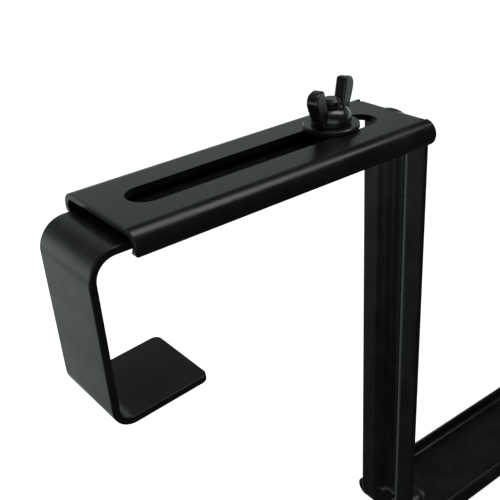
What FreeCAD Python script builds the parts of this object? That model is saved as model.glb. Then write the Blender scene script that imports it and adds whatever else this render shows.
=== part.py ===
import FreeCAD, Part
import math
import os

# Adjustable rail hanger bracket, in millimetres.
#
# The rail lies along Y, under the arm, between the sliding hook's drop leg and the post.
# Origin: on the post's rail-side face, on the centre plane, level with the lowest line of the
# arm's rolled edges, which rest on the rail. +X runs out along the base, +Z is up.

V = FreeCAD.Vector
X = V(1, 0, 0)
Y = V(0, 1, 0)
Z = V(0, 0, 1)

# Frame: one pressed steel sheet that makes the arm, the post and the base
SHEET = 2.0
EDGE_ROUND = 0.45            # deburred and coated sheet edges
END_ROUND = 0.3              # the same round the arm's and the base's free ends
CHANNEL_WIDTH = 38.0
CHANNEL_LENGTH = 110.06
ROLL_RADIUS = 4.3            # outside of the rolled edges
ROLL_SWEEP = 158.0           # how far round the edges are rolled, in degrees
ARM_ROLL_GAP = 0.84          # from the arm's rolled edges to the post's near face
BASE_ROLL_GAP = 1.4          # from the base's rolled edges to the post's far face
CORNER_RADIUS = 3.0          # free corners of the rolled edges, seen from the side
CORNER_SINK = 0.25           # the corner's arc is centred this much low, so it meets the edge at an angle
FRAME_HEIGHT = 182.7         # top of the arm to underside of the base
POST_WIDTH = 27.4
TOP_BEND = 4.5               # outside radius, from arm to post
LOW_BEND = 6.9               # outside radius, from post to base

# Stiffening bead: deep along the post, shallow where it runs round the two bends.
# half: half-width. shoulder, root: hollow-side radii. wall: degrees. floor: half of the flat bottom.
POST_BEAD = dict(half=6.9, shoulder=3.8, root=2.8, wall=58.0, floor=0.6)
TOP_BEAD = dict(half=6.6, shoulder=8.0, root=7.0, wall=24.0, floor=0.4)
FLOOR_BEAD = dict(half=6.5, shoulder=3.4, root=3.0, wall=42.0, floor=1.8)
POST_BEAD_TOP = 0.1          # upper end of the deep part
POST_BEAD_LIFT = 6.9         # lower end of the deep part, above the base's underside
TOP_BEAD_RISE = 0.15         # its crest above the arm, just inside the top bend
TOP_BEAD_SWEEP = 111.0       # round the top bend, in degrees, so that it fades into the arm
FLOOR_BEAD_END = 23.0        # round end on the floor of the base

# Slot in the arm
SLOT_WIDTH = 11.6
SLOT_START = -95.8           # centre of the round end near the free end
SLOT_END = -16.1             # centre of the round end near the post

# Sliding hook, a flat bar
HOOK_WIDTH = 28.0
HOOK_SHEET = 2.35
HOOK_SLACK = 2.35            # from the arm's web down to the hook while the clamp is loose
HOOK_HEEL = -17.9            # end inside the arm
HOOK_DROP_X = -122.4         # drop leg's outer face ...
HOOK_DROP_Z = -10.87         # ... at this height
HOOK_LEAN = 0.95             # drop leg, in degrees off the vertical
HOOK_TIP_X = -90.3           # free end of the return leg ...
HOOK_TIP_Z = -46.37          # ... and its top there
HOOK_TILT = 4.36             # return leg, in degrees off the horizontal
HOOK_TOP_BEND = 8.5          # outside radius
HOOK_LOW_BEND = 6.5          # outside radius
HOOK_CORNER = 2.5            # free corners, seen from above

# Clamp: carriage bolt, flat washer, wing nut
BOLT_X = -26.6
BOLT_Y = 1.5
BOLT_RADIUS = 2.97
BOLT_LENGTH = 16.3           # under the head
THREAD_PITCH = 1.0
THREAD_DEPTH = 0.55
THREAD_CHAMFER = 0.8
NECK_SIDE = 6.3
NECK_HEIGHT = 4.0
NECK_CLEARANCE = 0.05
HEAD_RADIUS = 6.5
HEAD_HEIGHT = 3.3
HEAD_RIM = 0.7
WASHER_RADIUS = 9.0
WASHER_HOLE = 3.2
WASHER_THICK = 1.6
WASHER_EDGE = 0.35
NUT_BORE = 3.03
NUT_COUNTERSINK = 0.5
HUB_RADIUS = 6.4
HUB_CHAMFER = 0.4
HUB_SKIRT = 1.4
HUB_BULGE = 0.9              # how far the hub's side swells between skirt and top
HUB_HEIGHT = 5.0
HUB_TOP_RADIUS = 4.4
WING_THICK = 3.8
WING_CORNER = 0.9            # corners of the side outline
WING_ROUND = 0.7             # rims of the cheeks
WING_TURN = 20.0             # the wings' angle from +X, in degrees
WING_SWELL = 0.4
# Side outline of one wing: distance out from the axis, height above the nut's seat
WING_HEEL = (4.6, 0.3)
WING_ROOT_LOW = (7.0, 0.3)
WING_BROW = (12.5, 8.8)
WING_TIP = (11.2, 12.0)
WING_TIP_INNER = (7.4, 12.5)
WING_ROOT_HIGH = (4.9, 4.8)

TIP_ANGLE = math.degrees(math.asin(EDGE_ROUND / (ROLL_RADIUS - EDGE_ROUND)))
ROLL_DROP = EDGE_ROUND - (ROLL_RADIUS - EDGE_ROUND) * math.cos(math.radians(ROLL_SWEEP - TIP_ANGLE))
ARM_TOP = ROLL_RADIUS + ROLL_DROP
ARM_FREE_END = -ARM_ROLL_GAP - CHANNEL_LENGTH
BASE_UNDERSIDE = ARM_TOP - FRAME_HEIGHT
HOOK_LEG_TOP = ARM_TOP - SHEET - HOOK_SLACK
CLEAR = 1.0                  # how far a cutting shape stands proud of what it cuts
BEAD_ROOTING = 1.5           # how deep a raised bead's solid starts, from the sheet's hollow side


def at(x, z):
    return V(x, 0, z)


def arc(start, middle, end):
    return Part.Arc(start, middle, end).toShape()


def line(start, end):
    return Part.LineSegment(start, end).toShape()


def face(edges):
    return Part.Face(Part.Wire(edges))


def box(low, high):
    return Part.makeBox(high.x - low.x, high.y - low.y, high.z - low.z, low)


def mirrored(shape):
    """The shape on the other side of the centre plane."""
    return shape.mirror(V(0, 0, 0), Y)


def half_turned(shape):
    """The arm's shape turned half round about the middle of the post, to be the base's."""
    turned = shape.copy()
    turned.rotate(at(SHEET / 2, ARM_TOP - FRAME_HEIGHT / 2), Y, 180)
    return turned.translated(X * (BASE_ROLL_GAP - ARM_ROLL_GAP))


def strip_side(points, radii, offset):
    """One side of a bent strip: the centre line's corners, rounded, and moved sideways."""
    first = (points[1] - points[0]).normalize()
    here = points[0] + V(-first.z, 0, first.x) * offset
    edges = []
    for before_point, corner, after_point, radius in zip(points, points[1:], points[2:], radii):
        before = (corner - before_point).normalize()
        after = (after_point - corner).normalize()
        left = V(-before.z, 0, before.x)
        turn = math.atan2(before.x * after.z - before.z * after.x, before.dot(after))
        side = math.copysign(1, turn)
        run = radius * math.tan(abs(turn) / 2)
        centre = corner - before * run + left * (radius * side)
        start = corner - before * run + left * offset
        end = corner + after * run + V(-after.z, 0, after.x) * offset
        middle = centre + (corner - centre).normalize() * (radius - offset * side)
        edges.append(line(here, start))
        edges.append(arc(start, middle, end))
        here = end
    last = (points[-1] - points[-2]).normalize()
    edges.append(line(here, points[-1] + V(-last.z, 0, last.x) * offset))
    return edges


def bent_strip(points, radii, thickness, width):
    """A flat strip bent along its length, centred on the centre plane."""
    upper = strip_side(points, radii, thickness / 2)
    lower = strip_side(points, radii, -thickness / 2)
    start = line(lower[0].firstVertex().Point, upper[0].firstVertex().Point)
    end = line(upper[-1].lastVertex().Point, lower[-1].lastVertex().Point)
    edges = Part.__sortEdges__(upper + [end] + lower + [start])
    outline = Part.Face(Part.Wire(edges))
    outline.translate(Y * (-width / 2))
    return outline.extrude(Y * width)


def side_edges(solid, width):
    """The edges that run round the two side faces of a strip."""
    found = []
    for edge in solid.Edges:
        bounds = edge.BoundBox
        if bounds.YLength < 1e-6 and abs(abs(bounds.YMin) - width / 2) < 1e-6:
            found.append(edge)
    return found


def rolled_half_section():
    """Half of the channel's section, on the +Y side, in the YZ plane at X = 0."""
    centre = V(0, CHANNEL_WIDTH / 2 - ROLL_RADIUS, ARM_TOP - ROLL_RADIUS)
    inner = ROLL_RADIUS - SHEET
    inner_tip_angle = math.degrees(math.asin(EDGE_ROUND / (inner + EDGE_ROUND)))
    outer_end = ROLL_SWEEP - TIP_ANGLE
    inner_end = ROLL_SWEEP - inner_tip_angle

    def toward(sweep):
        return V(0, math.sin(math.radians(sweep)), math.cos(math.radians(sweep)))

    outer_centre = centre + toward(outer_end) * (ROLL_RADIUS - EDGE_ROUND)
    inner_centre = centre + toward(inner_end) * (inner + EDGE_ROUND)
    outer_face = outer_centre + toward(ROLL_SWEEP + 90) * EDGE_ROUND
    inner_face = inner_centre + toward(ROLL_SWEEP + 90) * EDGE_ROUND
    outer_middle = outer_centre + toward((outer_end + ROLL_SWEEP + 90) / 2) * EDGE_ROUND
    inner_middle = inner_centre + toward((inner_end + 180 + ROLL_SWEEP + 90) / 2) * EDGE_ROUND
    outer_last = centre + toward(outer_end) * ROLL_RADIUS
    inner_last = centre + toward(inner_end) * inner
    outer_first = centre + Z * ROLL_RADIUS
    inner_first = centre + Z * inner
    return face([
        line(V(0, 0, ARM_TOP), outer_first),
        arc(outer_first, centre + toward(outer_end / 2) * ROLL_RADIUS, outer_last),
        arc(outer_last, outer_middle, outer_face),
        line(outer_face, inner_face),
        arc(inner_face, inner_middle, inner_last),
        arc(inner_last, centre + toward(inner_end / 2) * inner, inner_first),
        line(inner_first, V(0, 0, ARM_TOP - SHEET)),
        line(V(0, 0, ARM_TOP - SHEET), V(0, 0, ARM_TOP)),
    ])


def channel():
    """The arm's channel: web on top, edges rolled down and under, free end rounded."""
    half = rolled_half_section().extrude(X * CHANNEL_LENGTH)
    half.translate(X * ARM_FREE_END)
    shape = half.fuse(mirrored(half)).removeSplitter()

    reach = CHANNEL_WIDTH / 2 + CLEAR
    inside = ARM_FREE_END + CORNER_RADIUS
    centre_z = CORNER_RADIUS - CORNER_SINK
    corner = box(V(ARM_FREE_END - CLEAR, -reach, -CLEAR), V(inside, reach, centre_z))
    rounding = Part.makeCylinder(CORNER_RADIUS, 2 * reach, V(inside, -reach, centre_z), Y)
    shape = shape.cut(corner.cut(rounding))

    edges = []
    for edge in shape.Edges:
        if edge.BoundBox.XMax < ARM_FREE_END + 1e-4 and edge.Length > SHEET:
            edges.append(edge)
    return shape.makeFillet(END_ROUND, edges)


def tongue_cutters(bend_radius):
    """Room for the bend between the rolled edges, and the round-ended notches beside it."""
    low = ARM_TOP - SHEET - CLEAR / 2
    high = ARM_TOP + CLEAR / 2
    bend_start = SHEET - bend_radius
    roll_start = CHANNEL_WIDTH / 2 - ROLL_RADIUS
    notch = (roll_start - POST_WIDTH / 2) / 2
    room = box(V(bend_start, -roll_start, low), V(CLEAR, roll_start, high))
    notch_end = Part.makeCylinder(notch, high - low, V(bend_start, roll_start - notch, low))
    return [room, notch_end, mirrored(notch_end)]


def post_strip():
    """The flat strip that is bent down from the arm and out again into the base."""
    middle = SHEET / 2
    top = ARM_TOP - middle
    bottom = BASE_UNDERSIDE + middle
    overlap = 6 * SHEET
    points = [at(-overlap, top), at(middle, top), at(middle, bottom), at(SHEET + overlap, bottom)]
    strip = bent_strip(points, [TOP_BEND - middle, LOW_BEND - middle], SHEET, POST_WIDTH)
    return strip.makeFillet(EDGE_ROUND, side_edges(strip, POST_WIDTH))


def bead_depth(bead):
    angle = math.radians(bead["wall"])
    radii = bead["root"] + bead["shoulder"]
    wall_run = bead["half"] - bead["floor"] - radii * math.sin(angle)
    return radii * (1 - math.cos(angle)) + wall_run * math.tan(angle)


def bead_half_face(bead, offset, start):
    """Half of a bead's section, +Y side, in the XY plane, its height along +X from start.

    offset is 0 for the hollow side of the sheet and SHEET for the raised side."""
    angle = math.radians(bead["wall"])
    depth = bead_depth(bead)
    root = bead["root"] + offset
    shoulder = bead["shoulder"] - offset

    def on_root(part):
        turn = angle * part
        return V(depth - bead["root"] + root * math.cos(turn), bead["floor"] + root * math.sin(turn), 0)

    def on_shoulder(part):
        turn = angle * part
        x = bead["shoulder"] - shoulder * math.cos(turn)
        return V(x, bead["half"] - shoulder * math.sin(turn), 0)

    crest = V(depth + offset, 0, 0)
    return face([
        line(crest, on_root(0)),
        arc(on_root(0), on_root(0.5), on_root(1)),
        line(on_root(1), on_shoulder(1)),
        arc(on_shoulder(1), on_shoulder(0.5), on_shoulder(0)),
        line(on_shoulder(0), V(start, bead["half"], 0)),
        line(V(start, bead["half"], 0), V(start, 0, 0)),
        line(V(start, 0, 0), crest),
    ])


def post_bead(offset, start):
    """The deep part of the bead, straight down the post, with a round dish at each end."""
    half = bead_half_face(POST_BEAD, offset, start)
    top = POST_BEAD_TOP - POST_BEAD["half"]
    bottom = BASE_UNDERSIDE + POST_BEAD_LIFT + POST_BEAD["half"]
    dish = half.revolve(V(0, 0, 0), X, 360)
    run = half.extrude(Z * (top - bottom)).translated(Z * bottom)
    return run.fuse([mirrored(run), dish.translated(Z * top), dish.translated(Z * bottom)]).removeSplitter()


def top_bead(offset, start):
    """The shallow part that runs round the top bend and fades into the arm."""
    crest_radius = TOP_BEND + TOP_BEAD_RISE
    bend = at(SHEET + bead_depth(TOP_BEAD) - crest_radius, ARM_TOP - TOP_BEND)
    half = bead_half_face(TOP_BEAD, offset, start).translated(Z * bend.z)
    turn = half.revolve(bend, -Y, TOP_BEAD_SWEEP)
    run = half.extrude(-Z * (bend.z - POST_BEAD_TOP + POST_BEAD["half"]))
    return turn.fuse([mirrored(turn), run, mirrored(run)]).removeSplitter()


def floor_bead(offset, start):
    """The shallow part that runs round the low bend and ends on the floor of the base."""
    bend = at(LOW_BEND, BASE_UNDERSIDE + LOW_BEND)
    half = bead_half_face(FLOOR_BEAD, offset, start)
    upright = half.translated(Z * bend.z)
    turn = upright.revolve(bend, -Y, 90)
    rise = upright.extrude(Z * (POST_BEAD_LIFT - LOW_BEND + POST_BEAD["half"]))
    flat = upright.copy()
    flat.rotate(bend, -Y, 90)
    end = FLOOR_BEAD_END - FLOOR_BEAD["half"]
    run = flat.extrude(X * (end - bend.x))
    dish = flat.translated(X * (end - bend.x)).revolve(V(end, 0, 0), Z, 360)
    return turn.fuse([mirrored(turn), rise, mirrored(rise), run, mirrored(run), dish]).removeSplitter()


def slot_cutter():
    radius = SLOT_WIDTH / 2
    low = ARM_TOP - SHEET - CLEAR
    depth = SHEET + 2 * CLEAR
    start = Part.makeCylinder(radius, depth, V(SLOT_START, 0, low))
    end = Part.makeCylinder(radius, depth, V(SLOT_END, 0, low))
    middle = box(V(SLOT_START, -radius, low), V(SLOT_END, radius, low + depth))
    return middle.fuse([start, end]).removeSplitter()


def frame():
    """Arm, post and base, pressed and bent from one sheet."""
    arm = channel().cut(tongue_cutters(TOP_BEND))
    base = half_turned(channel().cut(tongue_cutters(LOW_BEND)))
    shape = post_strip().fuse([arm, base])
    for bead in (post_bead, top_bead, floor_bead):
        shape = shape.fuse(bead(SHEET, BEAD_ROOTING))
    for bead in (post_bead, top_bead, floor_bead):
        shape = shape.cut(bead(0, -CLEAR))
    return shape.cut(slot_cutter()).removeSplitter()


def hook():
    """Flat bar bent into a hook: clamped leg, drop leg and return leg."""
    half = HOOK_SHEET / 2
    lean = math.radians(HOOK_LEAN)
    tilt = math.radians(HOOK_TILT)
    leg_z = HOOK_LEG_TOP - half
    tip = V(HOOK_TIP_X, 0, HOOK_TIP_Z) - V(-math.sin(tilt), 0, math.cos(tilt)) * half
    drop = V(HOOK_DROP_X, 0, HOOK_DROP_Z) + V(math.cos(lean), 0, math.sin(lean)) * half

    # Corners where the legs' centre lines meet
    upper = at(drop.x - (leg_z - drop.z) * math.tan(lean), leg_z)
    rise = (tip.x - drop.x) * math.tan(tilt)
    fall = (drop.z - tip.z + rise) / (1 + math.tan(lean) * math.tan(tilt))
    lower = at(drop.x + fall * math.tan(lean), drop.z - fall)

    points = [at(HOOK_HEEL, leg_z), upper, lower, tip]
    bar = bent_strip(points, [HOOK_TOP_BEND - half, HOOK_LOW_BEND - half], HOOK_SHEET, HOOK_WIDTH)

    corners = []
    for edge in bar.Edges:
        bounds = edge.BoundBox
        upright = bounds.ZLength > HOOK_SHEET * 0.9 and bounds.ZLength < HOOK_SHEET * 1.1
        if upright and bounds.YLength < 1e-6 and edge.Length < HOOK_SHEET * 1.1:
            corners.append(edge)
    bar = bar.makeFillet(HOOK_CORNER, corners)
    rims = [edge for edge in bar.Edges if edge.BoundBox.YLength < HOOK_WIDTH - 1e-3
            and abs(edge.Length - HOOK_SHEET) > 1e-3]
    bar = bar.makeFillet(EDGE_ROUND, rims)

    square = NECK_SIDE / 2 + NECK_CLEARANCE
    hole = box(V(BOLT_X - square, BOLT_Y - square, HOOK_LEG_TOP - HOOK_SHEET - CLEAR),
               V(BOLT_X + square, BOLT_Y + square, HOOK_LEG_TOP + CLEAR))
    return bar.cut(hole)


def carriage_bolt():
    """Domed head under the hook, square neck through it, threaded shank up through the slot."""
    dome = HEAD_HEIGHT - HEAD_RIM
    dome_radius = (HEAD_RADIUS ** 2 + dome ** 2) / (2 * dome)
    half_angle = math.asin(HEAD_RADIUS / dome_radius) / 2
    flank = at(dome_radius * math.sin(half_angle), dome_radius * (1 - math.cos(half_angle)) - HEAD_HEIGHT)
    head = face([
        line(at(0, 0), at(HEAD_RADIUS, 0)),
        line(at(HEAD_RADIUS, 0), at(HEAD_RADIUS, -HEAD_RIM)),
        arc(at(HEAD_RADIUS, -HEAD_RIM), flank, at(0, -HEAD_HEIGHT)),
        line(at(0, -HEAD_HEIGHT), at(0, 0)),
    ]).revolve(V(0, 0, 0), Z, 360)
    side = NECK_SIDE / 2
    neck = box(V(-side, -side, 0), V(side, side, NECK_HEIGHT))

    root = BOLT_RADIUS - THREAD_DEPTH
    foot = NECK_HEIGHT - THREAD_PITCH
    outline = [at(0, foot), at(BOLT_RADIUS, foot)]
    threads = int((BOLT_LENGTH - NECK_HEIGHT - THREAD_CHAMFER) / THREAD_PITCH)
    for turn in range(threads):
        low = NECK_HEIGHT + turn * THREAD_PITCH
        outline.append(at(BOLT_RADIUS, low + 0.15 * THREAD_PITCH))
        outline.append(at(root, low + 0.45 * THREAD_PITCH))
        outline.append(at(root, low + 0.6 * THREAD_PITCH))
        outline.append(at(BOLT_RADIUS, low + 0.9 * THREAD_PITCH))
    outline.append(at(BOLT_RADIUS, BOLT_LENGTH - THREAD_CHAMFER))
    outline.append(at(BOLT_RADIUS - THREAD_CHAMFER, BOLT_LENGTH))
    outline.append(at(0, BOLT_LENGTH))
    shank = Part.Face(Part.makePolygon(outline + [outline[0]])).revolve(V(0, 0, 0), Z, 360)
    bolt = head.fuse([neck, shank]).removeSplitter()
    return bolt.translated(V(BOLT_X, BOLT_Y, HOOK_LEG_TOP - HOOK_SHEET))


def flat_washer():
    edge = WASHER_EDGE
    outline = [
        at(WASHER_HOLE, 0),
        at(WASHER_RADIUS - edge, 0),
        at(WASHER_RADIUS, edge),
        at(WASHER_RADIUS, WASHER_THICK - edge),
        at(WASHER_RADIUS - edge, WASHER_THICK),
        at(WASHER_HOLE, WASHER_THICK),
    ]
    washer = Part.Face(Part.makePolygon(outline + [outline[0]])).revolve(V(0, 0, 0), Z, 360)
    return washer.translated(V(BOLT_X, BOLT_Y, ARM_TOP))


def wing():
    """One wing of the nut, standing out along +X, before it is turned."""
    heel = at(*WING_HEEL)
    low = at(*WING_ROOT_LOW)
    brow = at(*WING_BROW)
    tip = at(*WING_TIP)
    tip_inner = at(*WING_TIP_INNER)
    high = at(*WING_ROOT_HIGH)
    flank = (low + brow) / 2 + V(WING_SWELL, 0, -WING_SWELL)
    cheek = (brow + tip) / 2 + V(WING_SWELL, 0, WING_SWELL)
    crown = (tip + tip_inner) / 2 + Z * (WING_SWELL / 2)
    outline = face([
        arc(low, flank, brow),
        arc(brow, cheek, tip),
        arc(tip, crown, tip_inner),
        line(tip_inner, high),
        line(high, heel),
        line(heel, low),
    ])
    outline.translate(Y * (-WING_THICK / 2))
    solid = outline.extrude(Y * WING_THICK)
    outside = HUB_TOP_RADIUS + CLEAR
    corners = [edge for edge in solid.Edges if edge.BoundBox.YLength > WING_THICK - 1e-3
               and edge.BoundBox.XMax > outside]
    solid = solid.makeFillet(WING_CORNER, corners)
    rims = [edge for edge in side_edges(solid, WING_THICK) if edge.BoundBox.XMax > outside]
    return solid.makeFillet(WING_ROUND, rims)


def wing_nut():
    mouth = NUT_BORE + NUT_COUNTERSINK
    bulge = at((HUB_RADIUS + HUB_TOP_RADIUS) / 2 + HUB_BULGE / 2, (HUB_SKIRT + HUB_HEIGHT) / 2 + HUB_BULGE / 2)
    hub = face([
        line(at(mouth, 0), at(HUB_RADIUS - HUB_CHAMFER, 0)),
        line(at(HUB_RADIUS - HUB_CHAMFER, 0), at(HUB_RADIUS, HUB_CHAMFER)),
        line(at(HUB_RADIUS, HUB_CHAMFER), at(HUB_RADIUS, HUB_SKIRT)),
        arc(at(HUB_RADIUS, HUB_SKIRT), bulge, at(HUB_TOP_RADIUS, HUB_HEIGHT)),
        line(at(HUB_TOP_RADIUS, HUB_HEIGHT), at(mouth, HUB_HEIGHT)),
        line(at(mouth, HUB_HEIGHT), at(NUT_BORE, HUB_HEIGHT - NUT_COUNTERSINK)),
        line(at(NUT_BORE, HUB_HEIGHT - NUT_COUNTERSINK), at(NUT_BORE, NUT_COUNTERSINK)),
        line(at(NUT_BORE, NUT_COUNTERSINK), at(mouth, 0)),
    ]).revolve(V(0, 0, 0), Z, 360)
    one = wing()
    other = one.copy()
    other.rotate(V(0, 0, 0), Z, 180)
    nut = hub.fuse([one, other]).removeSplitter()
    nut.rotate(V(0, 0, 0), Z, WING_TURN)
    return nut.translated(V(BOLT_X, BOLT_Y, ARM_TOP + WASHER_THICK))


def export(node, shape):
    solids = shape.Solids
    assert len(solids) == 1 and shape.isValid(), node
    solids[0].exportStep("parts/" + node + ".step")


os.makedirs("parts", exist_ok=True)
export("frame", frame())
export("hook", hook())
export("carriage_bolt", carriage_bolt())
export("flat_washer", flat_washer())
export("wing_nut", wing_nut())
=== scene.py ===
import bpy
import math
from mathutils import Matrix, Vector


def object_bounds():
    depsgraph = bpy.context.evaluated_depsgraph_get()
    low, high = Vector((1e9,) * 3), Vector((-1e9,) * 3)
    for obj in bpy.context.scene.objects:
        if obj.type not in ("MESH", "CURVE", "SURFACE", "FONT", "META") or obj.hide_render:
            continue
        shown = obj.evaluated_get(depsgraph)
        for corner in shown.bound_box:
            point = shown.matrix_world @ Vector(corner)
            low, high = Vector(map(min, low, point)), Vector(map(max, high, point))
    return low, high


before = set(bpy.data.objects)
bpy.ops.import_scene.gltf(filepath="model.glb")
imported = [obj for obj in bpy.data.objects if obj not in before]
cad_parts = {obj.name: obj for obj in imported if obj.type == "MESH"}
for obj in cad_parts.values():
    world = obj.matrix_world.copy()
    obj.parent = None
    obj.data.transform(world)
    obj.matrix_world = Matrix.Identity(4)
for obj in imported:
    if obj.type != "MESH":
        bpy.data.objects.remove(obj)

# Adjustable rail hanger bracket: the finish of its five CAD nodes, a plain studio and the camera.
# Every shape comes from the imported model, so no piece is added here. Lengths are in metres, but for
# the camera's lens and sensor.

CAD_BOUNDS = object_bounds()

MM = 0.001

# The finish of each node. base is its black, rough its roughness, grain the strength of its orange peel,
# edge_highlight_and_wear how strongly its edges are painted lighter (a painted edge highlight, and wear),
# and gloss its specular level where that isn't the usual one.
COATS = {
    "frame": dict(name="sheet coat", base=(0.009, 0.0095, 0.0092), rough=0.27, grain=0.3, edge_highlight_and_wear=0.5),
    "hook": dict(name="bar coat", base=(0.011, 0.0115, 0.0112), rough=0.29, grain=0.3, edge_highlight_and_wear=0.6),
    "carriage_bolt": dict(name="bolt coat", base=(0.012, 0.012, 0.0125), rough=0.26, grain=0.2, edge_highlight_and_wear=0.7),
    "flat_washer": dict(name="washer coat", base=(0.013, 0.0135, 0.0135), rough=0.25, grain=0.2, edge_highlight_and_wear=0.7),
    "wing_nut": dict(name="casting coat", base=(0.012, 0.0125, 0.0125), rough=0.21, grain=0.45, edge_highlight_and_wear=0.7,
                     gloss=0.9),
}
USUAL_GLOSS = 0.5
MOTTLE_SCALE = 90.0          # noise scales, per metre: soft cloudiness of the coat ...
PEEL_SCALE = 1500.0          # ... its orange peel ...
FINE_SCALE = 5200.0          # ... a finer roughness on that ...
SPECK_SCALE = 2600.0         # ... and specks of dust
PEEL_HEIGHT = 0.05 * MM
FINE_HEIGHT = 0.015 * MM
FINE_SHARE = 0.6             # of the grain's strength
EDGE_WIDTH = 0.35 * MM       # of the edges painted lighter, a painted edge highlight and wear
EDGE_SAMPLES = 6
DARKEST = 0.8                # the mottled colour's range, times the base colour
LIGHTEST = 1.25
SMEAR = 0.05                 # the mottled roughness's range, either way
DUST = (0.09, 0.09, 0.088, 1.0)
DUST_COVER = 0.5
# The lighter colour painted on the edges: a painted edge highlight, and wear
EDGE_HIGHLIGHT_AND_WEAR_COLOUR = (0.11, 0.11, 0.108, 1.0)

FLOOR_SIZE = 14.0
FLOOR_GAP = 0.5 * MM         # under the base
FLOOR_TONES = ((0.94, 0.94, 0.93, 1.0), (0.93, 0.93, 0.925, 1.0))
FLOOR_GLOW = 0.9
BACKDROP_RADIUS = 6.5
PLAIN_WHITE = (1.0, 1.0, 1.0, 1.0)

# The softbox overhead
BOX_PLACE = (0.34, -0.22, 0.9)
BOX_AIM = (0.0, 0.0, -0.06)
BOX_WIDTH = 0.45
BOX_DEPTH = 0.8
BOX_POWER = 3.2

# Pale panels in the world. facing is the direction a panel lies in, faint and full are how near to it
# (as a cosine) the panel begins and is at full strength, and top and bottom are heights from -1 to 1.
REAR = dict(facing=(0.1, 0.995, 0.0), faint=0.5, full=0.8, strength=0.47, top=0.5, bottom=-0.8)
FRONT_LEFT = dict(facing=(-0.707, -0.707, 0.0), faint=0.75, full=0.95, strength=0.35, top=0.4, bottom=-0.3)
RIGHT = dict(facing=(1.0, 0.0, 0.0), faint=0.8, full=0.95, strength=0.35, top=0.4, bottom=-0.5)
WINDOW = dict(facing=(-0.55, 0.835, 0.0), faint=0.88, full=0.97, strength=0.6, top=0.1, bottom=-0.15)
# Where the low band stops, in the same form
BAND_GAP = dict(facing=(0.5, -0.866, 0.0), faint=0.72, full=0.88, strength=1.0, top=1.0, bottom=-1.0)
SOFT_EDGE = 0.18             # of a panel's top and bottom
LOW_BAND = 0.9
CEILING = 0.3
ROOM = 0.035
STUDIO_TINT = (0.88, 1.0, 0.91, 1.0)

CAMERA_PLACE = Vector((-196.12, -182.03, 97.26)) * MM
CAMERA_YAW = 0.937           # radians, from +X towards +Y
CAMERA_PITCH = 0.484         # radians, down
CAMERA_ROLL = 0.066          # radians
SENSOR_WIDTH = 36.0          # millimetres
LENS = 60.088                # millimetres
CLIP_START = 0.01
CLIP_END = 50.0


# Small helpers for node trees

def node(owner, kind, **values):
    made = owner.node_tree.nodes.new(kind)
    for key, value in values.items():
        if key in made.inputs:
            made.inputs[key].default_value = value
        else:
            setattr(made, key, value)
    return made


def link(owner, start, end):
    owner.node_tree.links.new(start, end)


def empty_material(name):
    """A material with only its output node."""
    material = bpy.data.materials.new(name)
    material.use_nodes = True
    material.node_tree.nodes.clear()
    return material, node(material, "ShaderNodeOutputMaterial")


def new_material(name):
    material, output = empty_material(name)
    shader = node(material, "ShaderNodeBsdfPrincipled")
    link(material, shader.outputs["BSDF"], output.inputs["Surface"])
    return material, shader


def noise(material, place, scale, detail, roughness=0.5):
    made = node(material, "ShaderNodeTexNoise", Scale=scale, Detail=detail, Roughness=roughness)
    link(material, place, made.inputs["Vector"])
    return made.outputs["Fac"]


def ramp(owner, value, low, high, start, end):
    """Maps value from low..high to start..end, and clamps it."""
    made = node(owner, "ShaderNodeMapRange")
    made.inputs["From Min"].default_value = low
    made.inputs["From Max"].default_value = high
    made.inputs["To Min"].default_value = start
    made.inputs["To Max"].default_value = end
    link(owner, value, made.inputs["Value"])
    return made.outputs["Result"]


def maths(owner, operation, first, second):
    made = node(owner, "ShaderNodeMath", operation=operation)
    for socket, value in zip(made.inputs, (first, second)):
        if isinstance(value, (int, float)):
            socket.default_value = value
        else:
            link(owner, value, socket)
    return made.outputs["Value"]


def dot_product(owner, first, second):
    made = node(owner, "ShaderNodeVectorMath", operation="DOT_PRODUCT")
    for socket, value in zip(made.inputs, (first, second)):
        if isinstance(value, tuple):
            socket.default_value = value
        else:
            link(owner, value, socket)
    return made.outputs["Value"]


def mix_colour(material, amount, first, second):
    made = node(material, "ShaderNodeMix", data_type="RGBA")
    link(material, amount, made.inputs["Factor"])
    for socket, value in ((made.inputs[6], first), (made.inputs[7], second)):
        if isinstance(value, tuple):
            socket.default_value = value
        else:
            link(material, value, socket)
    return made.outputs[2]


def scaled(colour, factor):
    return tuple(channel * factor for channel in colour) + (1.0,)


# Finishes

def edge_highlight_and_wear_mask(material, mottle):
    """How much an edge is painted lighter, as a painted edge highlight and wear: 1 on it, fading within
    its width, and patchy along it.
    """
    # The bevel shader's normal leaves the true normal only close to an edge
    bevel = node(material, "ShaderNodeBevel", samples=EDGE_SAMPLES, Radius=EDGE_WIDTH)
    geometry = node(material, "ShaderNodeNewGeometry")
    agreement = dot_product(material, bevel.outputs["Normal"], geometry.outputs["Normal"])
    edge = ramp(material, agreement, 0.99, 0.82, 0.0, 1.0)
    patchy = ramp(material, mottle, 0.42, 0.6, 0.15, 1.0)
    return maths(material, "MULTIPLY", edge, patchy)


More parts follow.
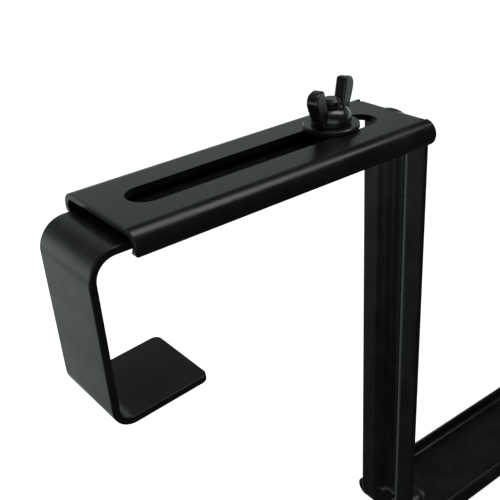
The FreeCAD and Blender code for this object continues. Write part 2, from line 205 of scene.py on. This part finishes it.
def coated_steel(name, base, rough, grain, edge_highlight_and_wear, gloss=USUAL_GLOSS):
    """Black coated steel: fine orange peel, soft mottling, dust, and thin edges painted a little brighter,
    as a painted edge highlight and wear.
    """
    material, shader = new_material(name)
    place = node(material, "ShaderNodeTexCoord").outputs["Object"]
    mottle = noise(material, place, MOTTLE_SCALE, 4.0)
    peel = noise(material, place, PEEL_SCALE, 3.0, 0.6)
    fine = noise(material, place, FINE_SCALE, 2.0)
    specks = noise(material, place, SPECK_SCALE, 1.0)

    cloud = ramp(material, mottle, 0.35, 0.65, 0.0, 1.0)
    body = mix_colour(material, cloud, scaled(base, DARKEST), scaled(base, LIGHTEST))
    dusty = mix_colour(material, ramp(material, specks, 0.7, 0.78, 0.0, DUST_COVER), body, DUST)
    # Edges painted lighter here: a painted edge highlight, and wear
    edge_highlight_and_wear_amount = maths(material, "MULTIPLY", edge_highlight_and_wear_mask(material, mottle), edge_highlight_and_wear)
    link(material, mix_colour(material, edge_highlight_and_wear_amount, dusty, EDGE_HIGHLIGHT_AND_WEAR_COLOUR), shader.inputs["Base Color"])

    smear = ramp(material, mottle, 0.3, 0.7, -SMEAR, SMEAR)
    link(material, maths(material, "ADD", smear, rough), shader.inputs["Roughness"])
    shader.inputs["Specular IOR Level"].default_value = gloss

    first = node(material, "ShaderNodeBump", Strength=grain, Distance=PEEL_HEIGHT)
    link(material, peel, first.inputs["Height"])
    second = node(material, "ShaderNodeBump", Strength=grain * FINE_SHARE, Distance=FINE_HEIGHT)
    link(material, fine, second.inputs["Height"])
    link(material, first.outputs["Normal"], second.inputs["Normal"])
    link(material, second.outputs["Normal"], shader.inputs["Normal"])
    return material


def paint(target, material):
    target.data.materials.clear()
    target.data.materials.append(material)
    for polygon in target.data.polygons:
        polygon.material_index = 0


for part, coat in COATS.items():
    paint(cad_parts[part], coated_steel(**coat))


# Stage: a plain pale floor under the base, a pale wall, one softbox and the panels round it

def plain_floor(height):
    """It glows, so that it stays plain white, but the coat neither mirrors it nor is lit by it."""
    material, shader = new_material("pale floor")
    place = node(material, "ShaderNodeTexCoord").outputs["Object"]
    tone = ramp(material, noise(material, place, 3.0, 2.0), 0.3, 0.7, 0.0, 1.0)
    link(material, mix_colour(material, tone, *FLOOR_TONES), shader.inputs["Base Color"])
    shader.inputs["Roughness"].default_value = 0.8
    shader.inputs["Specular IOR Level"].default_value = 0.0
    shader.inputs["Emission Color"].default_value = PLAIN_WHITE
    shader.inputs["Emission Strength"].default_value = FLOOR_GLOW
    bpy.ops.mesh.primitive_plane_add(size=FLOOR_SIZE, location=(0.0, 0.0, height))
    floor = bpy.context.active_object
    floor.name = "floor"
    floor.data.materials.append(material)
    floor.visible_glossy = False
    floor.visible_diffuse = False


def pale_backdrop():
    """A wall all round, far off. It is only looked at: it lights nothing and isn't reflected."""
    material, output = empty_material("pale backdrop")
    glow = node(material, "ShaderNodeEmission", Color=PLAIN_WHITE, Strength=1.0)
    link(material, glow.outputs["Emission"], output.inputs["Surface"])
    bpy.ops.mesh.primitive_uv_sphere_add(segments=48, ring_count=24, radius=BACKDROP_RADIUS)
    wall = bpy.context.active_object
    wall.name = "backdrop"
    wall.data.materials.append(material)
    wall.visible_diffuse = False
    wall.visible_glossy = False
    wall.visible_transmission = False
    wall.visible_shadow = False


def top_softbox():
    data = bpy.data.lights.new("top softbox", "AREA")
    data.shape = "RECTANGLE"
    data.size = BOX_WIDTH
    data.size_y = BOX_DEPTH
    data.energy = BOX_POWER
    lamp = bpy.data.objects.new("top softbox", data)
    bpy.context.scene.collection.objects.link(lamp)
    lamp.location = BOX_PLACE
    lamp.rotation_euler = (Vector(BOX_AIM) - Vector(BOX_PLACE)).to_track_quat("-Z", "Y").to_euler()
    lamp.visible_camera = False


def panel(world, direction, height, facing, faint, full, strength, top, bottom):
    """The strength of one pale panel in each direction."""
    glow = ramp(world, dot_product(world, direction, facing), faint, full, 0.0, strength)
    under = ramp(world, height, top, top + SOFT_EDGE, 1.0, 0.0)
    over = ramp(world, height, bottom - SOFT_EDGE, bottom, 0.0, 1.0)
    return maths(world, "MULTIPLY", glow, maths(world, "MULTIPLY", under, over))


def studio_world():
    """A dark room with pale panels, which the coat mirrors."""
    world = bpy.data.worlds.new("studio")
    bpy.context.scene.world = world
    world.use_nodes = True
    background = world.node_tree.nodes["Background"]
    direction = node(world, "ShaderNodeTexCoord").outputs["Generated"]
    parts = node(world, "ShaderNodeSeparateXYZ")
    link(world, direction, parts.inputs["Vector"])
    across = parts.outputs["X"]
    height = parts.outputs["Z"]

    # The rear wall: brighter low down, and flagged off at its upper left
    rear = panel(world, direction, height, **REAR)
    rear = maths(world, "MULTIPLY", rear, ramp(world, height, -0.3, 0.4, 1.2, 0.84))
    raised = ramp(world, height, 0.15, 0.4, 0.0, 1.0)
    leftward = ramp(world, across, 0.1, -0.2, 0.0, 0.65)
    flagged = maths(world, "SUBTRACT", 1.0, maths(world, "MULTIPLY", raised, leftward))
    rear = maths(world, "MULTIPLY", rear, flagged)
    strength = maths(world, "ADD", rear, ROOM)
    for shape in (FRONT_LEFT, RIGHT, WINDOW):
        strength = maths(world, "ADD", strength, panel(world, direction, height, **shape))

    # A low band all round, but for a gap in front on the right, and a faint ceiling
    risen = ramp(world, height, -0.31, -0.2, 0.0, 1.0)
    fallen = ramp(world, height, 0.05, 0.2, LOW_BAND, 0.0)
    outside_gap = maths(world, "SUBTRACT", 1.0, panel(world, direction, height, **BAND_GAP))
    band = maths(world, "MULTIPLY", maths(world, "MULTIPLY", risen, fallen), outside_gap)
    ceiling = ramp(world, height, 0.75, 0.95, 0.0, CEILING)
    strength = maths(world, "MAXIMUM", strength, maths(world, "ADD", band, ceiling))
    link(world, strength, background.inputs["Strength"])
    background.inputs["Color"].default_value = STUDIO_TINT


plain_floor(CAD_BOUNDS[0].z - FLOOR_GAP)
top_softbox()
pale_backdrop()
studio_world()
bpy.context.scene.view_settings.view_transform = "Standard"


# Camera: off the arm's free end and to its -Y side, a little above it, tipped down and slightly rolled

def look(yaw, pitch, roll):
    forward = Vector((math.cos(yaw) * math.cos(pitch), math.sin(yaw) * math.cos(pitch), -math.sin(pitch)))
    level = forward.cross(Vector((0.0, 0.0, 1.0))).normalized()
    down = forward.cross(level)
    right = level * math.cos(roll) + down * math.sin(roll)
    under = down * math.cos(roll) - level * math.sin(roll)
    return Matrix((right, -under, -forward)).transposed()


camera_data = bpy.data.cameras.new("camera")
camera = bpy.data.objects.new("camera", camera_data)
bpy.context.scene.collection.objects.link(camera)
bpy.context.scene.camera = camera
camera.location = CAMERA_PLACE
camera.rotation_euler = look(CAMERA_YAW, CAMERA_PITCH, CAMERA_ROLL).to_euler()
camera_data.sensor_width = SENSOR_WIDTH
camera_data.lens = LENS
camera_data.clip_start = CLIP_START
camera_data.clip_end = CLIP_END
camera_data.dof.use_dof = False
